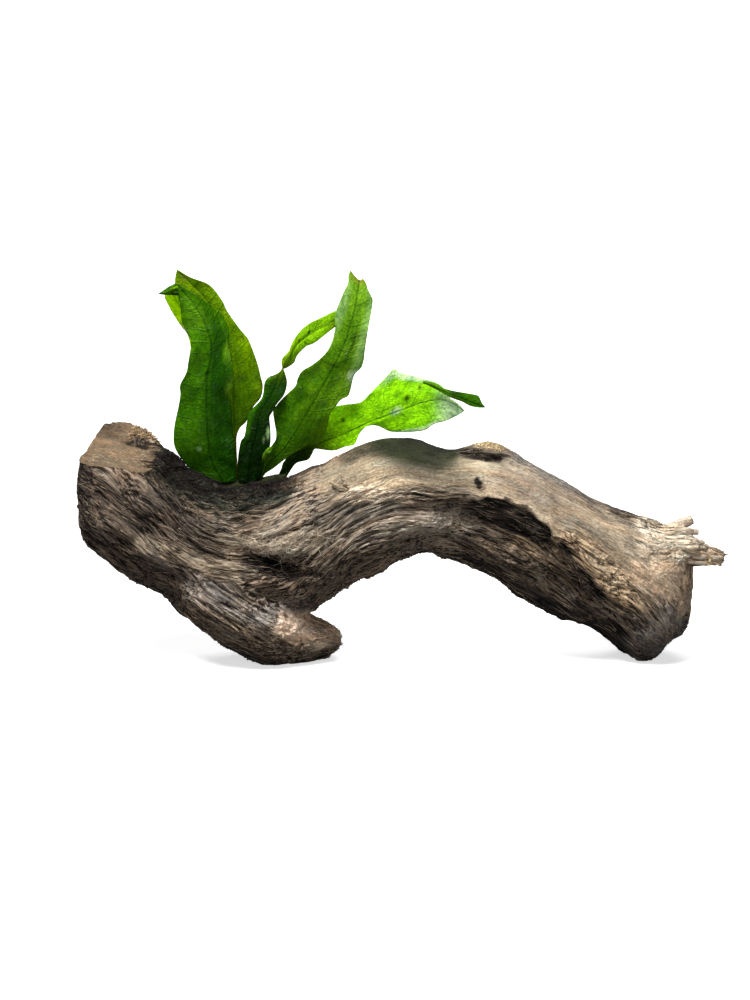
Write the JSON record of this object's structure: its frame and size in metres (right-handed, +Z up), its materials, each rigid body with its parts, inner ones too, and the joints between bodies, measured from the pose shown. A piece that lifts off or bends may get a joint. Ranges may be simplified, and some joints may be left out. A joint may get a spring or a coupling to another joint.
{
  "type": "java fern on driftwood",
  "caption": "Bent driftwood arch with a sawn head and a broken stub, with a java fern of long wavy leaves grown into its saddle; aquarium decoration that fish pass under.",
  "frame": {"origin": "bottom centre of the bounding box, on the surface that the wood rests on", "axes": "+X runs along the wood from the sawn head to the broken stub, -Y is the side seen in the picture, +Z is up"},
  "size_m": [0.2991, 0.0604, 0.1829],
  "materials": {
    "driftwood": "matte",
    "broken_wood": "matte",
    "rhizome": "matte",
    "leaf_dark": "satin",
    "leaf_olive": "satin",
    "leaf_bright": "satin",
    "root": "matte"
  },
  "bodies": {
    "root": {"driftwood_trunk": "driftwood", "driftwood_prong": "driftwood", "driftwood_stub": "broken_wood", "rhizome": "rhizome", "leaf_front_left": "leaf_dark", "leaf_back_left": "leaf_olive", "leaf_curled": "leaf_bright", "leaf_twisted": "leaf_dark", "leaf_middle": "leaf_olive", "leaf_right": "leaf_bright", "leaf_sprout": "leaf_bright", "root_1": "root", "root_2": "root", "root_3": "root", "root_4": "root", "root_5": "root"}
  },
  "joints": []
}
